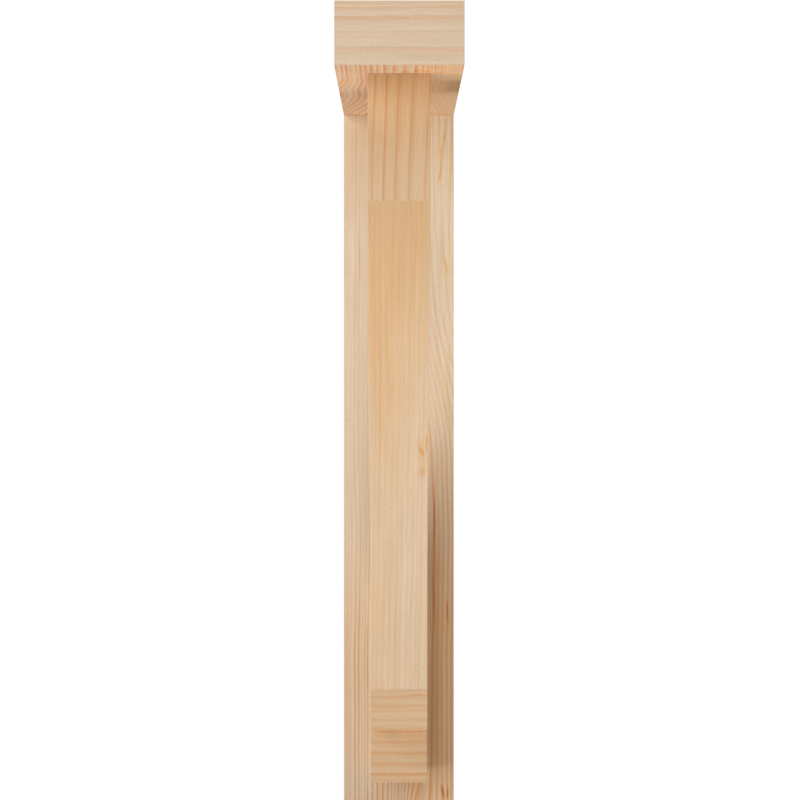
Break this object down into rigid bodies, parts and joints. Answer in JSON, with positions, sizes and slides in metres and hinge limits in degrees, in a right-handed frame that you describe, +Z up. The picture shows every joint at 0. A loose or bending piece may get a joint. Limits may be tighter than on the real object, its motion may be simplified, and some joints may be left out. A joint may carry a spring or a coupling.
{
  "type": "timber wall bracket",
  "caption": "Square timber wall bracket: a flat arm over a post, held by a narrow curved brace that stands on a stepped foot block.",
  "frame": {"origin": "on the back face of the post, which lies against the wall, midway across it and midway up the whole bracket", "axes": "+Z up, -Y out of the wall to the front end of the arm, +X to the right when looking at the front"},
  "size_m": [0.0888, 0.3556, 0.6096],
  "materials": {
    "post": "planed softwood, unfinished, grain running up the post",
    "arm": "planed softwood, unfinished, grain running front to back, sawn end to the front",
    "brace": "planed and sawn softwood, unfinished, grain running up the brace",
    "foot_block": "planed softwood, unfinished, end grain to the front"
  },
  "bodies": {
    "root": {"post": "post", "arm": "arm", "brace": "brace", "foot_block": "foot_block"}
  },
  "joints": []
}
